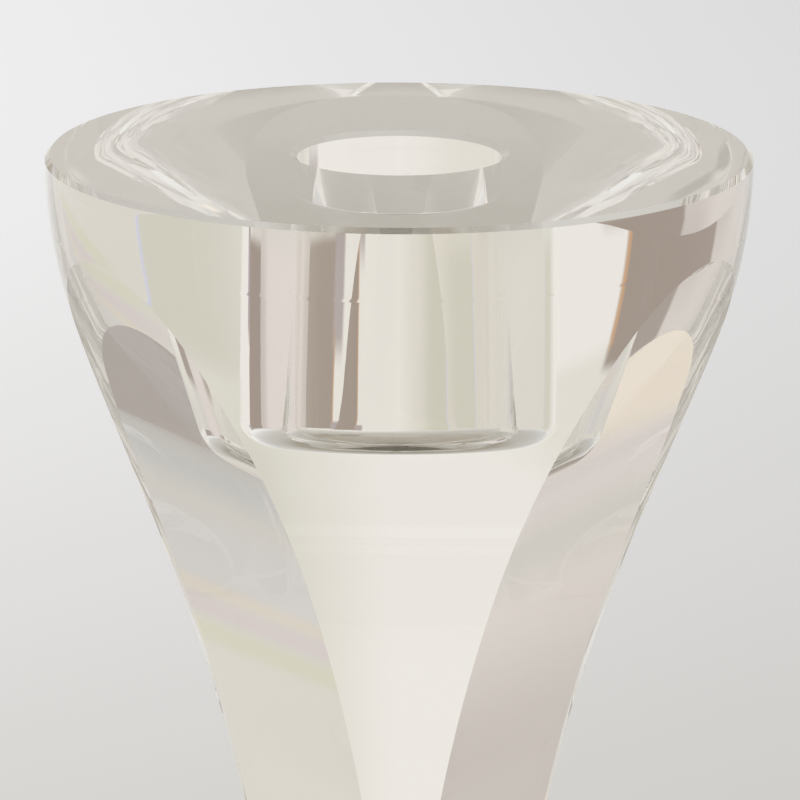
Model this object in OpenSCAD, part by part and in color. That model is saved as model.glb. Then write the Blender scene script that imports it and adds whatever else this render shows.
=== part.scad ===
// Tall cut-crystal candlestick for one taper candle.
// The body is a solid hourglass with three long concave cuts, so that its round
// section narrows to a near-triangle at the waist. It is ground and polished in two
// sections, bonded at the waist, and stands on clear bumper pads.
// Origin: centre of the footprint on the table. +Z is up. A rib faces -Y.

/* [Size] */
// Height from the table to the top face
overall_height = 228.6; // [216:0.2:232]
// Diameter of the rim and of the foot
rim_diameter = 76.2; // [66:0.2:90]
// Polished 45 degree chamfer on the rim and the foot
rim_chamfer = 0.56; // [0.3:0.02:1.2]

/* [Bowl curve] */
// Radius of the round shoulder that starts at the rim
shoulder_radius = 55; // [40:1:80]
// Steepest lean of the bowl's side, in degrees from vertical
bowl_lean = 19.6; // [17:0.1:21]
// Radius of the long hollow curve into the waist
waist_curve_radius = 211; // [190:1:220]

/* [Side cuts] */
// Number of side cuts
cut_count = 3; // [3:1:4]
// Depth below the rim at which each cut runs out into the bowl
cut_start = 8; // [6:0.5:14]
// Lean of each cut where it starts, in degrees from vertical
cut_lean = 27.4; // [26:0.1:29]
// Radius of the long hollow curve of each cut
cut_curve_radius = 195; // [190:1:210]

/* [Candle socket] */
// Bore for a standard taper candle
socket_diameter = 22; // [20:0.1:24]
// Depth of the bore below the top face
socket_depth = 26.2; // [20:0.2:32]
// Rounding where the bore's wall meets its floor
socket_fillet = 3; // [1:0.1:4]
// Width of the chamfer at the bore's mouth
mouth_chamfer_width = 0.8; // [0.3:0.1:1.5]
// Height of the chamfer at the bore's mouth
mouth_chamfer_height = 0.5; // [0.3:0.1:1.5]

/* [Waist bond] */
// Thickness of the clear bond between the two sections
bond_thickness = 0.2; // [0.1:0.05:0.4]
// How far the bond stops short of the polished sides
bond_inset = 0.15; // [0.05:0.05:0.5]

/* [Bumper pads] */
// Number of pads under the foot
pad_count = 3; // [3:1:6]
// Diameter of each pad
pad_diameter = 9.5; // [6:0.5:12]
// Thickness of each pad
pad_thickness = 1; // [0.8:0.1:2]
// Radius of the circle that the pads sit on
pad_circle_radius = 29; // [24:0.5:31]

/* [Hidden] */

arc_step = 4; // height of one step along a curve, in mm
fillet_step = 10; // angle of one step round the socket's fillet, in degrees
overshoot = 2; // how far a cutting shape reaches past the face that it starts from
bore_fn = 96;
body_fn = 180;

rim_radius = rim_diameter / 2;
socket_radius = socket_diameter / 2;
crystal_height = overall_height - pad_thickness;
half_height = crystal_height / 2;
waist_level = pad_thickness + half_height;
cut_reach = 2 * rim_radius; // half width of a cutter, wider than the body

shoulder_end = shoulder_radius * sin(bowl_lean);
waist_arc_start = half_height - waist_curve_radius * sin(bowl_lean);
cut_arc_start = half_height - cut_curve_radius * sin(cut_lean);

// Depths from level a to level b, in even steps of about arc_step
function levels(a, b) =
    let (steps = ceil((b - a) / arc_step))
    [for (i = [0:steps]) a + (b - a) * i / steps];

// How far an arc of radius r has turned inward, a height h past its upright tangent
function sagitta(r, h) = r - sqrt(r * r - h * h);

// Radius of the body at depth t below the rim, down to the waist
function body_radius(t) =
    t < shoulder_end ? rim_radius - sagitta(shoulder_radius, t)
    : t < waist_arc_start ? rim_radius - sagitta(shoulder_radius, shoulder_end)
        - (t - shoulder_end) * tan(bowl_lean)
    : waist_radius + sagitta(waist_curve_radius, half_height - t);

waist_radius = rim_radius - sagitta(shoulder_radius, shoulder_end)
    - (waist_arc_start - shoulder_end) * tan(bowl_lean)
    - sagitta(waist_curve_radius, half_height - waist_arc_start);

// Distance of a cut from the axis at depth t below the rim, down to the waist
function cut_distance(t) =
    t < cut_arc_start ? body_radius(cut_start) - (t - cut_start) * tan(cut_lean)
    : waist_cut + sagitta(cut_curve_radius, half_height - t);

waist_cut = body_radius(cut_start) - (cut_arc_start - cut_start) * tan(cut_lean)
    - sagitta(cut_curve_radius, half_height - cut_arc_start);

// Half of the body's outline, from the rim down to the waist, as [radius, depth]
half_outline = concat(
    [[0, 0], [rim_radius - rim_chamfer, 0]],
    [for (t = levels(rim_chamfer, shoulder_end)) [body_radius(t), t]],
    [for (t = levels(shoulder_end, waist_arc_start)) if (t > shoulder_end) [body_radius(t), t]],
    [for (t = levels(waist_arc_start, half_height)) if (t > waist_arc_start) [body_radius(t), t]],
    [[0, half_height]]);

// What one cutter removes, from above the rim down to the waist
cutter_outline = concat(
    [[cut_distance(-overshoot), -overshoot]],
    [for (t = levels(cut_arc_start, half_height)) [cut_distance(t), t]],
    [[waist_cut, half_height + overshoot],
     [cut_reach, half_height + overshoot], [cut_reach, -overshoot]]);

// Outline of the candle socket, from its floor up past the top face
socket_outline = concat(
    [[0, -socket_depth], [socket_radius - socket_fillet, -socket_depth]],
    [for (a = [fillet_step:fillet_step:90])
        [socket_radius - socket_fillet + socket_fillet * sin(a),
         -socket_depth + socket_fillet * (1 - cos(a))]],
    [[socket_radius, -mouth_chamfer_height],
     [socket_radius + mouth_chamfer_width, 0],
     [socket_radius + mouth_chamfer_width, overshoot], [0, overshoot]]);

// One long concave cut on the +X side, depths measured down from z = 0
module side_cutter() {
    rotate([90, 0, 0])
        linear_extrude(height = 2 * cut_reach, center = true)
            polygon([for (p = cutter_outline) [p[0], -p[1]]]);
}

// Half of the hourglass, rim at z = 0, waist at z = -half_height
module half_body() {
    difference() {
        rotate_extrude($fn = body_fn)
            polygon([for (p = half_outline) [p[0], -p[1]]]);
        for (i = [0:cut_count - 1])
            rotate(-90 + (i + 0.5) * 360 / cut_count) side_cutter();
    }
}

// Section of the body at the waist, drawn inward by an inset
module waist_section(inset) {
    intersection() {
        circle(r = waist_radius - inset, $fn = body_fn);
        circle(r = (waist_cut - inset) / cos(180 / cut_count), $fn = cut_count);
    }
}

// What is ground off the waist to leave room for the bond, centred on z = 0
module bond_gap(below, above) {
    translate([0, 0, -below])
        cylinder(r = rim_radius, h = below + above);
}

module upper_crystal() {
    color([0.93, 0.92, 0.90, 0.45])
        difference() {
            translate([0, 0, overall_height]) half_body();
            translate([0, 0, overall_height])
                rotate_extrude($fn = bore_fn) polygon(socket_outline);
            translate([0, 0, waist_level]) bond_gap(overshoot, bond_thickness / 2);
        }
}

module lower_crystal() {
    color([0.93, 0.92, 0.90, 0.45])
        difference() {
            translate([0, 0, pad_thickness]) mirror([0, 0, 1]) half_body();
            translate([0, 0, waist_level]) bond_gap(bond_thickness / 2, overshoot);
        }
}

module waist_bond() {
    color([0.97, 0.96, 0.92, 0.6])
        translate([0, 0, waist_level - bond_thickness / 2])
            linear_extrude(height = bond_thickness)
                rotate(-90) waist_section(bond_inset);
}

module bumper_pads() {
    color([0.85, 0.86, 0.87, 0.8])
        for (i = [0:pad_count - 1])
            rotate(-90 + i * 360 / pad_count)
                translate([pad_circle_radius, 0, 0])
                    cylinder(d = pad_diameter, h = pad_thickness, $fn = bore_fn);
}

upper_crystal();
lower_crystal();
waist_bond();
bumper_pads();
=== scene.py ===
"""A tall cut-crystal candlestick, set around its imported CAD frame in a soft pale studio."""
import math

import bpy
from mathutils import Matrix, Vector


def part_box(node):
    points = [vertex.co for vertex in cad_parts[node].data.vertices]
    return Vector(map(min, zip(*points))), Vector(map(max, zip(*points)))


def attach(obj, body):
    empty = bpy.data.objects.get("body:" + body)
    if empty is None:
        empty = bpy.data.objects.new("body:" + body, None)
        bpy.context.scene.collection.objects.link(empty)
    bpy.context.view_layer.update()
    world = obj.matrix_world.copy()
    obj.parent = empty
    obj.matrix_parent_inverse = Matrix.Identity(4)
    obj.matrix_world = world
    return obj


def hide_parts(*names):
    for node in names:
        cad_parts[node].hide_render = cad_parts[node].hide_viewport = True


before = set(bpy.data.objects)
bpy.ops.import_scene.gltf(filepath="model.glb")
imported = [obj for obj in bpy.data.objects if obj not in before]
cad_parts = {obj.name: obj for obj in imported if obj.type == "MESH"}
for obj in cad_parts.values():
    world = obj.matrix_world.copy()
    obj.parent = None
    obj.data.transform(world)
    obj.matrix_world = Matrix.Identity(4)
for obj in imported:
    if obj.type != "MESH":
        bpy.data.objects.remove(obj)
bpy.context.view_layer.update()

# ---------------------------------------------------------------------------
# Crystal sections
# Two solid castings of clear optical crystal, turned to a round flared bowl and then
# cut on three sides with a wide concave wheel. Ground, polished, and left sharp along
# the cuts; the rim, the foot and the mouth of the socket have a fine polished chamfer.
# ---------------------------------------------------------------------------
top_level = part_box("upper_crystal")[1].z
foot_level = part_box("lower_crystal")[0].z
rim_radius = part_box("upper_crystal")[1].x
section_height = top_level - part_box("upper_crystal")[0].z
waist_depth = (top_level - foot_level) / 2

bowl = {
    "Rim Radius": rim_radius,
    "Rim Chamfer": 0.00056,
    "Shoulder Radius": 0.055,
    "Bowl Lean": math.radians(19.6),
    "Waist Curve Radius": 0.211,
    "Waist Depth": waist_depth,
    "Section Height": section_height,
}
cuts = {
    "Cut Start": 0.008,
    "Cut Lean": math.radians(27.4),
    "Cut Curve Radius": 0.195,
}
socket = {
    "Socket Radius": 0.011,
    "Socket Depth": 0.0262,
    "Socket Fillet": 0.003,
    "Mouth Width": 0.0008,
    "Mouth Height": 0.0005,
}
CUT_COUNT = 3


class Measure:
    """A number inside a node tree. Arithmetic on it adds the Math node that works it out."""

    def __init__(self, tree, output):
        self.tree = tree
        self.output = output

    def math(self, operation, *others):
        node = self.tree.nodes.new("ShaderNodeMath")
        node.operation = operation
        for place, term in zip(node.inputs, (self, *others)):
            if isinstance(term, Measure):
                self.tree.links.new(term.output, place)
            else:
                place.default_value = term
        return Measure(self.tree, node.outputs[0])

    def __add__(self, other):
        return self.math("ADD", other)

    def __sub__(self, other):
        return self.math("SUBTRACT", other)

    def __rsub__(self, other):
        return self.math("MULTIPLY_ADD", -1.0, other)

    def __neg__(self):
        return self.math("MULTIPLY", -1.0)

    def __mul__(self, other):
        return self.math("MULTIPLY", other)

    def __truediv__(self, other):
        return self.math("DIVIDE", other)

    __radd__ = __add__
    __rmul__ = __mul__


def pick(choice, yes, no):
    """yes where choice is 1, no where it is 0."""
    return no + (yes - no) * choice


class Lathe:
    """Turns a closed body in a geometry node tree, one band of its outline at a time.

    A band is a grid wrapped round the axis. Its columns stand in one fan for each side cut,
    half of them on the cut and half on the rib beside it, so edges run along columns.
    """

    weld_distance = 1e-6
    crease_angle = math.radians(14)  # edges that bend by more than this stay sharp

    def __init__(self, name, sizes, cut_count, fan_columns):
        self.tree = bpy.data.node_groups.new(name, "GeometryNodeTree")
        self.cut_count = cut_count
        self.columns = cut_count * fan_columns
        self.bands = []
        sockets = self.tree.interface
        sockets.new_socket("Geometry", in_out="OUTPUT", socket_type="NodeSocketGeometry")
        sockets.new_socket("Material", in_out="INPUT", socket_type="NodeSocketMaterial")
        for label in sizes:
            sockets.new_socket(label, in_out="INPUT", socket_type="NodeSocketFloat")
        self.entry = self.tree.nodes.new("NodeGroupInput")

    def size(self, label):
        return Measure(self.tree, self.entry.outputs[label])

    def node(self, kind, **links):
        """A new node with its inputs linked or set by name."""
        made = self.tree.nodes.new(kind)
        for label, value in links.items():
            place = made.inputs[label.replace("_", " ")]
            if isinstance(value, Measure):
                self.tree.links.new(value.output, place)
            elif isinstance(value, bpy.types.NodeSocket):
                self.tree.links.new(value, place)
            else:
                place.default_value = value
        return made

    def band(self, rows, outline, cut=None, shrink=None, material=None):
        """Adds a band of an outline, which gives radius and height for v from 0 to 1.

        cut(v) is the distance of the side cuts from the axis. shrink(v) draws the band inward.
        """
        grid = self.node("GeometryNodeMeshGrid", Size_X=1.0, Size_Y=1.0,
                         Vertices_X=self.columns + 1, Vertices_Y=rows + 1)
        place = self.node("ShaderNodeSeparateXYZ")
        self.tree.links.new(self.tree.nodes.new("GeometryNodeInputPosition").outputs[0],
                            place.inputs[0])
        around = Measure(self.tree, place.outputs["X"]) + 0.5
        along = Measure(self.tree, place.outputs["Y"]) + 0.5
        radius, height = outline(along)

        fan = around * self.cut_count
        side = fan.math("FRACT") * 2 - 1
        spread = side.math("ABSOLUTE") * 2 - 1
        on_rib = spread.math("MAXIMUM", 0.0)
        if cut is None:
            turn = side.math("SIGN") * on_rib * (math.pi / self.cut_count)
        else:
            distance = cut(along)
            rounding = 1.000001  # keeps the tip of a cut closed in single precision
            half_cut = (distance / radius * rounding).math("MINIMUM", 1.0).math("ARCCOSINE")
            flat_turn = (side * 2 * half_cut.math("TANGENT")).math("ARCTANGENT")
            half_rib = math.pi / self.cut_count - half_cut
            rib_turn = side.math("SIGN") * (half_cut + half_rib * on_rib)
            turn = pick(spread.math("LESS_THAN", 0.0), flat_turn, rib_turn)
            radius = (distance / turn.math("COSINE")).math("MINIMUM", radius)
        if shrink is not None:
            radius = radius * shrink(along)
        angle = (fan.math("FLOOR") + 0.5) * (math.tau / self.cut_count) - math.pi / 2 + turn

        point = self.node("ShaderNodeCombineXYZ", X=radius * angle.math("COSINE"),
                          Y=radius * angle.math("SINE"), Z=height)
        shaped = self.node("GeometryNodeSetPosition", Geometry=grid.outputs["Mesh"],
                           Position=point.outputs[0])
        painted = self.node("GeometryNodeSetMaterial", Geometry=shaped.outputs[0])
        if material is None:
            self.tree.links.new(self.entry.outputs["Material"], painted.inputs["Material"])
        else:
            painted.inputs["Material"].default_value = material
        self.bands.append(painted.outputs[0])

    def close(self, copies=None):
        """Joins the bands into one closed body, smooth but for its edges, and ends the tree."""
        joined = self.tree.nodes.new("GeometryNodeJoinGeometry")
        for output in self.bands:
            self.tree.links.new(output, joined.inputs[0])
        welded = self.node("GeometryNodeMergeByDistance", Geometry=joined.outputs[0],
                           Distance=self.weld_distance)
        outward = self.node("GeometryNodeFlipFaces", Mesh=welded.outputs[0])
        bend = self.tree.nodes.new("GeometryNodeInputMeshEdgeAngle")
        edge = Measure(self.tree, bend.outputs["Unsigned Angle"])
        sharp = edge.math("GREATER_THAN", self.crease_angle)
        smooth = self.node("GeometryNodeSetShadeSmooth", Geometry=outward.outputs[0], Shade_Smooth=True)
        creased = self.node("GeometryNodeSetShadeSmooth", Geometry=smooth.outputs[0],
                            Selection=sharp, Shade_Smooth=False)
        creased.domain = "EDGE"
        body = creased.outputs[0]
        if copies:
            body = copies(self, body)
        real = self.node("GeometryNodeRealizeInstances", Geometry=body)
        leave = self.tree.nodes.new("NodeGroupOutput")
        self.tree.links.new(real.outputs[0], leave.inputs[0])


def sagitta(radius, height):
    """How far an arc has turned inward, a height past its upright tangent."""
    return radius - (radius * radius - height * height).math("SQRT")


def crystal_tree(name, with_socket, bonded_face):
    """The node tree of one crystal section, rim at z = 0 and waist downwards."""
    sizes = [*bowl, *cuts] + ([*socket] if with_socket else [])
    lathe = Lathe(name, sizes, cut_count=CUT_COUNT, fan_columns=96)
    rim, chamfer = lathe.size("Rim Radius"), lathe.size("Rim Chamfer")
    shoulder, waist_curve = lathe.size("Shoulder Radius"), lathe.size("Waist Curve Radius")
    waist, bowl_lean = lathe.size("Waist Depth"), lathe.size("Bowl Lean")
    cut_start, cut_lean = lathe.size("Cut Start"), lathe.size("Cut Lean")
    cut_curve = lathe.size("Cut Curve Radius")

    shoulder_end = shoulder * bowl_lean.math("SINE")
    waist_start = waist - waist_curve * bowl_lean.math("SINE")
    cut_arc_start = waist - cut_curve * cut_lean.math("SINE")
    cone_top = rim - sagitta(shoulder, shoulder_end)
    waist_radius = (cone_top - (waist_start - shoulder_end) * bowl_lean.math("TANGENT")
                    - sagitta(waist_curve, waist - waist_start))

    def body_radius(depth):
        """Radius of the turned body at a depth below the rim."""
        round_part = rim - sagitta(shoulder, depth)
        cone = cone_top - (depth - shoulder_end) * bowl_lean.math("TANGENT")
        hollow = waist_radius + sagitta(waist_curve, waist - depth)
        below = pick(depth.math("LESS_THAN", waist_start), cone, hollow)
        return pick(depth.math("LESS_THAN", shoulder_end), round_part, below)

    cut_begins = body_radius(cut_start)
    waist_cut = (cut_begins - (cut_arc_start - cut_start) * cut_lean.math("TANGENT")
                 - sagitta(cut_curve, waist - cut_arc_start))

    def cut_distance(depth):
        """Distance of a side cut from the axis at a depth below the rim."""
        straight = cut_begins - (depth - cut_start) * cut_lean.math("TANGENT")
        hollow = waist_cut + sagitta(cut_curve, waist - depth)
        return pick(depth.math("LESS_THAN", cut_arc_start), straight, hollow)

    def wall(v, start, end):
        """The outside of the body between two depths."""
        depth = start + (end - start) * v
        return body_radius(depth), v * 0 - depth

    flat_edge = rim - chamfer
    if with_socket:
        bore, socket_depth = lathe.size("Socket Radius"), lathe.size("Socket Depth")
        fillet = lathe.size("Socket Fillet")
        mouth, mouth_height = lathe.size("Mouth Width"), lathe.size("Mouth Height")
        floor_edge = bore - fillet
        wall_foot = fillet - socket_depth
        quarter = math.pi / 2
        lathe.band(1, lambda v: (floor_edge * v, v * 0 - socket_depth))
        lathe.band(10, lambda v: (floor_edge + fillet * (v * quarter).math("SINE"),
                                  wall_foot - fillet * (v * quarter).math("COSINE")))
        lathe.band(1, lambda v: (v * 0 + bore, wall_foot - (wall_foot + mouth_height) * v))
        lathe.band(1, lambda v: (bore + mouth * v, mouth_height * (v - 1)))
        lathe.band(1, lambda v: (bore + mouth + (flat_edge - bore - mouth) * v, v * 0))
    else:
        lathe.band(1, lambda v: (flat_edge * v, v * 0))
    lathe.band(1, lambda v: (flat_edge + (body_radius(chamfer) - flat_edge) * v, -(chamfer * v)))
    lathe.band(16, lambda v: wall(v, chamfer, cut_start))

    run_out_length = 0.006  # the zone where a cut opens out of the bowl, in finer rows
    run_out = cut_start + run_out_length
    end = lathe.size("Section Height")
    lathe.band(20, lambda v: wall(v * v, cut_start, run_out),
               cut=lambda v: cut_distance(cut_start + (run_out - cut_start) * v * v))
    lathe.band(96, lambda v: wall(v, run_out, end),
               cut=lambda v: cut_distance(run_out + (end - run_out) * v))
    lathe.band(1, lambda v: wall(v * 0 + 1, run_out, end), cut=lambda v: cut_distance(end + v * 0),
               shrink=lambda v: 1 - v, material=bonded_face)
    lathe.close()
    return lathe


def linear(red, green, blue):
    """An 8-bit display colour as the linear values that a shader takes."""
    def channel(value):
        value /= 255
        return value / 12.92 if value <= 0.04045 else ((value + 0.055) / 1.055) ** 2.4
    return (channel(red), channel(green), channel(blue), 1.0)


def new_material(name):
    """A named material with its Principled shader."""
    material = bpy.data.materials.new(name)
    material.use_nodes = True
    return material, material.node_tree, material.node_tree.nodes["Principled BSDF"]


def polish_group():
    """Shared effect: the faint unevenness that felt polishing leaves on a clear surface."""
    group = bpy.data.node_groups.new("polish", "ShaderNodeTree")
    sockets = group.interface
    for label, value in (("Scale", 40.0), ("Low", 0.0), ("High", 0.01)):
        made = sockets.new_socket(label, in_out="INPUT", socket_type="NodeSocketFloat")
        made.default_value = value
    sockets.new_socket("Roughness", in_out="OUTPUT", socket_type="NodeSocketFloat")
    sockets.new_socket("Wave", in_out="OUTPUT", socket_type="NodeSocketFloat")
    nodes, links = group.nodes, group.links
    entry, leave = nodes.new("NodeGroupInput"), nodes.new("NodeGroupOutput")
    place = nodes.new("ShaderNodeTexCoord")
    smear = nodes.new("ShaderNodeTexNoise")
    smear.inputs["Detail"].default_value = 3.0
    links.new(place.outputs["Object"], smear.inputs["Vector"])
    links.new(entry.outputs["Scale"], smear.inputs["Scale"])
    ranged = nodes.new("ShaderNodeMapRange")
    ranged.inputs["From Min"].default_value = 0.45
    ranged.inputs["From Max"].default_value = 0.75
    links.new(smear.outputs[0], ranged.inputs["Value"])
    links.new(entry.outputs["Low"], ranged.inputs["To Min"])
    links.new(entry.outputs["High"], ranged.inputs["To Max"])
    links.new(ranged.outputs[0], leave.inputs["Roughness"])
    links.new(smear.outputs[0], leave.inputs["Wave"])
    return group


polish = polish_group()


def add_polish(tree, shader, scale, low, high):
    """Drives a shader's roughness with the polish effect, from low to high."""
    finish = tree.nodes.new("ShaderNodeGroup")
    finish.node_tree = polish
    for label, value in (("Scale", scale), ("Low", low), ("High", high)):
        finish.inputs[label].default_value = value
    tree.links.new(finish.outputs["Roughness"], shader.inputs["Roughness"])
    return finish


def crystal_material():
    """Clear optical crystal: almost colourless, with a polish that is not quite perfect."""
    material, tree, shader = new_material("polished_crystal")
    shader.inputs["Base Color"].default_value = linear(252, 251, 248)
    shader.inputs["Transmission Weight"].default_value = 1.0
    shader.inputs["IOR"].default_value = 1.517
    add_polish(tree, shader, scale=90.0, low=0.0, high=0.012)
    return material


def bonded_material():
    """The face inside a bond: the adhesive matches the crystal, so light passes straight on."""
    material, tree, shader = new_material("bonded_face")
    tree.nodes.remove(shader)
    clear = tree.nodes.new("ShaderNodeBsdfTransparent")
    tree.links.new(clear.outputs[0], tree.nodes["Material Output"].inputs["Surface"])
    return material


crystal = crystal_material()
bonded = bonded_material()


def made_by(lathe, name, sizes, material):
    """Runs the tree once with these sizes and returns its result as a plain mesh object."""
    mesh = bpy.data.meshes.new(name)
    piece = bpy.data.objects.new(name, mesh)
    bpy.context.scene.collection.objects.link(piece)
    modifier = piece.modifiers.new("lathe", "NODES")
    modifier.node_group = lathe.tree
    values = {"Material": material, **sizes}
    for item in lathe.tree.interface.items_tree:
        if item.in_out == "INPUT":
            modifier[item.identifier] = values[item.name]
    depsgraph = bpy.context.evaluated_depsgraph_get()
    result = bpy.data.meshes.new_from_object(piece.evaluated_get(depsgraph))
    piece.modifiers.clear()
    piece.data = result
    result.name = name
    for slot in reversed(range(len(result.materials))):
        if result.materials[slot] is None:
            result.materials.pop(index=slot)
    return piece


def settle(piece, level, upside_down=False):
    """Moves the mesh of a piece to its level, turned over about the Y axis if upside down."""
    side = -1 if upside_down else 1
    for vertex in piece.data.vertices:
        x, y, z = vertex.co
        vertex.co = (side * x, y, level + side * z)


lower_sizes = {**bowl, **cuts}
upper_sizes = {**lower_sizes, **socket}
upper_crystal = made_by(crystal_tree("socketed crystal", True, bonded), "crystal_top",
                        upper_sizes, crystal)
lower_crystal = made_by(crystal_tree("plain crystal", False, bonded), "crystal_foot",
                        lower_sizes, crystal)
settle(upper_crystal, top_level)
settle(lower_crystal, foot_level, upside_down=True)
for piece, node in ((upper_crystal, "upper_crystal"), (lower_crystal, "lower_crystal")):
    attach(piece, "root")
    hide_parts(node)

# ---------------------------------------------------------------------------
# Waist bond
# A film of clear adhesive that joins the two sections at the waist. It stops just short
# of the polished sides and dries with a slightly hollow edge.
# ---------------------------------------------------------------------------
bond_low, bond_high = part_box("waist_bond")
bond_sizes = {
    "Half Thickness": (bond_high.z - bond_low.z) / 2,
    "Rib Radius": -bond_low.y,
    "Cut Distance": bond_high.y,
    "Edge Hollow": 0.00005,
}


def bond_tree(faces):
    """The node tree of the film, centred on z = 0."""
    lathe = Lathe("bond film", bond_sizes, cut_count=CUT_COUNT, fan_columns=96)
    half, hollow = lathe.size("Half Thickness"), lathe.size("Edge Hollow")
    rib, cut = lathe.size("Rib Radius"), lathe.size("Cut Distance")

    def dip(v):
        return hollow * (v * math.pi).math("SINE")

    lathe.band(1, lambda v: (rib + v * 0, half + v * 0), cut=lambda v: cut + v * 0,
               shrink=lambda v: v, material=faces)
    lathe.band(6, lambda v: (rib - dip(v), half - half * 2 * v), cut=lambda v: cut - dip(v))
    lathe.band(1, lambda v: (rib + v * 0, v * 0 - half), cut=lambda v: cut + v * 0,
               shrink=lambda v: 1 - v, material=faces)
    lathe.close()
    return lathe


def bond_material():
    """Cured adhesive at the film's edge, clear with a trace of yellow."""
    material, tree, shader = new_material("cured_adhesive")
    shader.inputs["Base Color"].default_value = linear(250, 247, 236)
    shader.inputs["Transmission Weight"].default_value = 1.0
    shader.inputs["IOR"].default_value = 1.51
    add_polish(tree, shader, scale=600.0, low=0.05, high=0.25)
    return material


waist_film = made_by(bond_tree(bonded), "waist_film", bond_sizes, bond_material())
settle(waist_film, (bond_low.z + bond_high.z) / 2)
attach(waist_film, "root")
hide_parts("waist_bond")

# ---------------------------------------------------------------------------
# Bumper pads
# Three clear soft polyurethane discs, stuck under the foot so that the crystal does not
# scratch the table. Each is moulded with a rounded lower edge and a little side draft.
# ---------------------------------------------------------------------------
PAD_COUNT = 3
pad_low, pad_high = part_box("bumper_pads")
pad_radius = 0.00475
pad_sizes = {
    "Pad Radius": pad_radius,
    "Pad Height": pad_high.z - pad_low.z,
    "Edge Rounding": 0.0004,
    "Side Draft": 0.00012,
    "Circle Radius": -pad_low.y - pad_radius,
}


def pad_tree():
    """The node tree of the pads: one turned disc, set out on a circle under the foot."""
    lathe = Lathe("bumper pads", pad_sizes, cut_count=1, fan_columns=128)
    radius, height = lathe.size("Pad Radius"), lathe.size("Pad Height")
    rounding, draft = lathe.size("Edge Rounding"), lathe.size("Side Draft")
    quarter = math.pi / 2
    foot_edge = radius - draft - rounding
    lathe.band(1, lambda v: (radius * v, height + v * 0))
    lathe.band(1, lambda v: (radius - draft * v, height - (height - rounding) * v))
    lathe.band(8, lambda v: (foot_edge + rounding * (v * quarter).math("COSINE"),
                             rounding - rounding * (v * quarter).math("SINE")))
    lathe.band(1, lambda v: (foot_edge - foot_edge * v, v * 0))

    def set_out(lathe, disc):
        ring = lathe.node("GeometryNodeMeshCircle", Vertices=PAD_COUNT,
                          Radius=lathe.size("Circle Radius"))
        turned = lathe.node("GeometryNodeTransform", Geometry=ring.outputs[0],
                            Rotation=(0.0, 0.0, -quarter))
        return lathe.node("GeometryNodeInstanceOnPoints", Points=turned.outputs[0],
                          Instance=disc).outputs[0]

    lathe.close(set_out)
    return lathe


def pad_material():
    """Soft clear polyurethane, faintly grey, with the satin skin of a moulded pad."""
    material, tree, shader = new_material("clear_polyurethane")
    shader.inputs["Base Color"].default_value = linear(228, 231, 233)
    shader.inputs["Transmission Weight"].default_value = 0.85
    shader.inputs["IOR"].default_value = 1.49
    finish = add_polish(tree, shader, scale=350.0, low=0.18, high=0.38)
    skin = tree.nodes.new("ShaderNodeBump")
    skin.inputs["Strength"].default_value = 0.15
    skin.inputs["Distance"].default_value = 0.00005
    tree.links.new(finish.outputs["Wave"], skin.inputs["Height"])
    tree.links.new(skin.outputs[0], shader.inputs["Normal"])
    return material


bumper_pads = made_by(pad_tree(), "pad_set", pad_sizes, pad_material())
settle(bumper_pads, pad_low.z)
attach(bumper_pads, "root")
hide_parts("bumper_pads")

# ---------------------------------------------------------------------------
# Floor
# A round table top of matt board with light and shade painted on: paler far behind the
# candlestick and darker to the right as a painted falloff, a painted shade nearer in, and a soft warm
# painted shadow round the foot.
# ---------------------------------------------------------------------------
floor_radius = 1.3
floor_sides = 96
floor_rim = [(floor_radius * math.cos(math.tau * i / floor_sides),
              floor_radius * math.sin(math.tau * i / floor_sides), 0.0) for i in range(floor_sides)]
floor_mesh = bpy.data.meshes.new("floor")
floor_mesh.from_pydata(floor_rim, [], [tuple(range(floor_sides))])
floor = bpy.data.objects.new("floor", floor_mesh)
bpy.context.scene.collection.objects.link(floor)


def floor_material():
    """Matt board with light painted on: painted shade near, painted falloff far, painted shadow at the
    foot.
    """
    material, tree, shader = new_material("matt_board_painted_light")
    shader.inputs["Roughness"].default_value = 0.9
    place = tree.nodes.new("ShaderNodeTexCoord")
    split = tree.nodes.new("ShaderNodeSeparateXYZ")
    tree.links.new(place.outputs["Object"], split.inputs[0])
    x, y = Measure(tree, split.outputs["X"]), Measure(tree, split.outputs["Y"])

    def fade(measure, start, end):
        node = tree.nodes.new("ShaderNodeMapRange")
        node.interpolation_type = "SMOOTHSTEP"
        tree.links.new(measure.output, node.inputs["Value"])
        node.inputs["From Min"].default_value = start
        node.inputs["From Max"].default_value = end
        return node.outputs[0]

    def blend_colours(mask, first, second):
        node = tree.nodes.new("ShaderNodeMix")
        node.data_type = "RGBA"
        tree.links.new(mask, node.inputs[0])
        for place, colour in ((node.inputs[6], first), (node.inputs[7], second)):
            if isinstance(colour, tuple):
                place.default_value = linear(*colour)
            else:
                tree.links.new(colour, place)
        return node.outputs[2]

    # Painted light: far off, the board is painted lit on the left and shaded on the right; nearer in it
    # takes a painted shade, and round the foot a painted shadow.
    far_left_painted_lit, far_right_painted_shade = (242, 243, 246), (205, 206, 209)
    near, foot_shade = (172, 168, 161), (148, 141, 128)
    far = blend_colours(fade(x, -0.3, 0.3), far_left_painted_lit, far_right_painted_shade)
    board = blend_colours(fade(y, -0.15, 1.17), near, far)
    reach = (x * x + y * y).math("SQRT")
    paint = blend_colours(fade(reach, 0.05, 0.24), foot_shade, board)
    tree.links.new(paint, shader.inputs["Base Color"])
    return material


floor_mesh.materials.append(floor_material())

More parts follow.
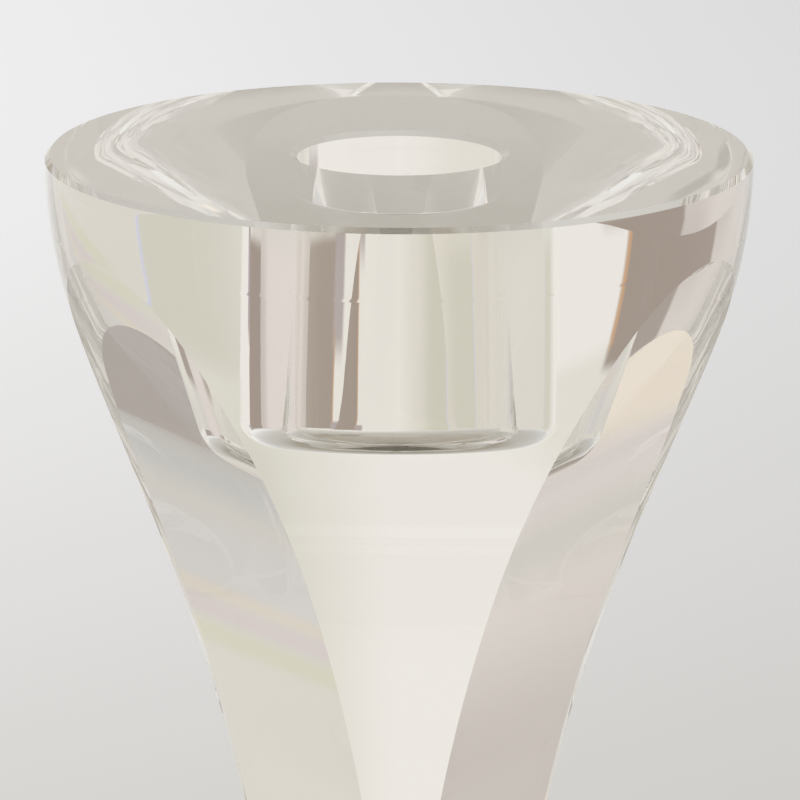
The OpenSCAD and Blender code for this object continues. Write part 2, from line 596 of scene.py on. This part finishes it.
# ---------------------------------------------------------------------------
# Camera
# A long lens about a metre away, just above the rim, close in on the candle socket and
# the bowl.
# ---------------------------------------------------------------------------
aim_depth = 0.0274  # below the flat top
aim = Vector((0, 0, top_level - aim_depth))
camera_turn = math.radians(-1.29)
camera_rise = math.radians(13.572)
camera_distance = 0.967
camera_roll = 0.003
field_width = 0.08653
camera = bpy.data.objects.new("camera", bpy.data.cameras.new("camera"))
bpy.context.scene.collection.objects.link(camera)
away = Vector((math.sin(camera_turn) * math.cos(camera_rise),
               -math.cos(camera_turn) * math.cos(camera_rise), math.sin(camera_rise)))
camera.location = aim + away * camera_distance
camera.rotation_euler = (-away).to_track_quat("-Z", "Y").to_euler()
camera.rotation_euler.rotate_axis("Z", camera_roll)
camera.data.lens = camera.data.sensor_width * camera_distance / field_width
camera.data.shift_x = 0.0019
camera.data.shift_y = 0.0004
bpy.context.scene.camera = camera

# ---------------------------------------------------------------------------
# Studio light
# Large soft-edged cards on the studio's walls, which the crystal shows by refraction, and
# a broad softbox overhead for the floor. Narrow coloured cards give the crystal the fine
# rainbow edges that real glass makes by dispersion.
# ---------------------------------------------------------------------------
world = bpy.data.worlds.new("studio")
bpy.context.scene.world = world
world.use_nodes = True
studio = world.node_tree
background = studio.nodes["Background"]


def card_group():
    """A soft-edged card on the studio wall: 1 inside its bounds, 0 outside, in degrees."""
    group = bpy.data.node_groups.new("card", "ShaderNodeTree")
    labels = ("Azimuth", "Elevation", "Left", "Right", "Low", "High",
              "Left Edge", "Right Edge", "End Edge")
    for label in labels:
        group.interface.new_socket(label, in_out="INPUT", socket_type="NodeSocketFloat")
    group.interface.new_socket("Mask", in_out="OUTPUT", socket_type="NodeSocketFloat")
    entry, leave = group.nodes.new("NodeGroupInput"), group.nodes.new("NodeGroupOutput")
    term = {label: Measure(group, entry.outputs[label]) for label in labels}

    def rise(value, start, edge):
        node = group.nodes.new("ShaderNodeMapRange")
        node.interpolation_type = "SMOOTHSTEP"
        for label, measure in (("Value", value), ("From Min", start - edge), ("From Max", start + edge)):
            group.links.new(measure.output, node.inputs[label])
        return Measure(group, node.outputs[0])

    inside = (rise(term["Azimuth"], term["Left"], term["Left Edge"])
              * (1 - rise(term["Azimuth"], term["Right"], term["Right Edge"]))
              * rise(term["Elevation"], term["Low"], term["End Edge"])
              * (1 - rise(term["Elevation"], term["High"], term["End Edge"])))
    group.links.new(inside.output, leave.inputs[0])
    return group


room = (218, 214, 207)
cards = [
    # name, left, right, low, high, softness of the left, the right and the ends, colour;
    # degrees of azimuth (0 behind the candlestick, positive to the right) and elevation
    ("ceiling", -200, 200, 50, 100, 1.0, 1.0, 25.0, (238, 238, 236)),
    ("backdrop", -26, 32, -30, 19, 3.0, 3.0, 3.0, (230, 227, 219)),
    ("right wall", 28, 100, -7, 20, 0.5, 9.0, 3.0, (224, 220, 212)),
    ("right wall, shaded top", 36, 60, 12.6, 24, 6.0, 6.0, 2.0, (215, 212, 210)),
    ("right wall, amber fringe", 36, 60, 14.9, 16.2, 6.0, 6.0, 0.7, (223, 214, 200)),
    ("right wall, pink fringe", 36, 60, 13.2, 14.6, 6.0, 6.0, 0.7, (219, 207, 206)),
    ("right wall, green fringe", 36, 60, 10.9, 12.8, 6.0, 6.0, 0.8, (219, 216, 197)),
    ("right wall, upper grey", 38, 66, 27, 41, 6.0, 6.0, 4.0, (204, 204, 203)),
    ("left wall, upper white", -72, -38, 27, 41, 6.0, 6.0, 4.0, (235, 226, 225)),
    ("left wall", -100, -42, -7, 20, 9.0, 0.6, 3.0, (227, 219, 214)),
    ("left wall, shaded edge", -50, -42, -7, 12, 5.0, 0.6, 7.0, (203, 195, 190)),
    ("white board", -21, 6, -30, 14, 0.5, 6.0, 1.5, (242, 239, 235)),
    ("cream board", 14, 27.5, -6, 16, 5.0, 0.5, 3.0, (214, 212, 200)),
    ("cream board, blue fringe", 27.3, 27.9, -6, 16, 0.3, 0.3, 3.0, (212, 213, 230)),
    ("brown screen", -42, -21, -6, 16, 0.6, 0.5, 0.8, (163, 149, 140)),
    ("brown screen, mauve foot", -22, -17.5, -9, 3.5, 1.0, 0.7, 1.5, (180, 169, 170)),
    ("brown screen, amber fringe", -21.4, -20.9, 2, 14, 0.3, 0.3, 1.0, (205, 165, 128)),
    ("front right wall", 110, 178, -20, 20, 6.0, 1.0, 5.0, (183, 177, 167)),
    ("front left wall", -178, -110, -20, 20, 1.0, 6.0, 5.0, (183, 176, 168)),
    ("front left stand", -160, -145, 8, 20, 3.0, 3.0, 3.0, (150, 145, 135)),
    ("front left warm lamp", -152, -126, 22, 34, 3.0, 3.0, 3.0, (248, 236, 220)),
    ("front right grey", 120, 148, 18, 34, 3.0, 3.0, 3.0, (170, 161, 157)),
]
place = studio.nodes.new("ShaderNodeTexCoord")
split = studio.nodes.new("ShaderNodeSeparateXYZ")
studio.links.new(place.outputs["Generated"], split.inputs[0])
east, north, up = (Measure(studio, split.outputs[axis]) for axis in "XYZ")
azimuth = east.math("ARCTAN2", north) * math.degrees(1) + math.degrees(camera_turn)
elevation = up.math("ARCSINE") * math.degrees(1)
card = card_group()
card_inputs = ("Left", "Right", "Low", "High", "Left Edge", "Right Edge", "End Edge")
base = studio.nodes.new("ShaderNodeRGB")
base.outputs[0].default_value = linear(*room)
colour = base.outputs[0]
for title, *shape, paint in cards:
    mask = studio.nodes.new("ShaderNodeGroup")
    mask.node_tree = card
    mask.label = title
    studio.links.new(azimuth.output, mask.inputs["Azimuth"])
    studio.links.new(elevation.output, mask.inputs["Elevation"])
    for label, value in zip(card_inputs, shape):
        mask.inputs[label].default_value = value
    mixer = studio.nodes.new("ShaderNodeMix")
    mixer.data_type = "RGBA"
    studio.links.new(mask.outputs[0], mixer.inputs[0])
    studio.links.new(colour, mixer.inputs[6])
    mixer.inputs[7].default_value = linear(*paint)
    colour = mixer.outputs[2]
studio.links.new(colour, background.inputs["Color"])

lamp = bpy.data.lights.new("overhead_softbox", "AREA")
lamp.shape = "DISK"
lamp.size = 4.0
lamp.energy = 36.0
lamp.color = (0.95, 0.98, 1.0)
softbox = bpy.data.objects.new("overhead_softbox", lamp)
softbox.location = (0.0, 0.3, 2.4)
softbox.visible_transmission = False
softbox.visible_glossy = False
bpy.context.scene.collection.objects.link(softbox)

# Light crosses many faces inside cut crystal before it leaves, so its paths are long.
settings = bpy.context.scene
settings.view_settings.view_transform = "Standard"
settings.cycles.max_bounces = 128
settings.cycles.transmission_bounces = 128
settings.cycles.transparent_max_bounces = 48
settings.cycles.glossy_bounces = 64
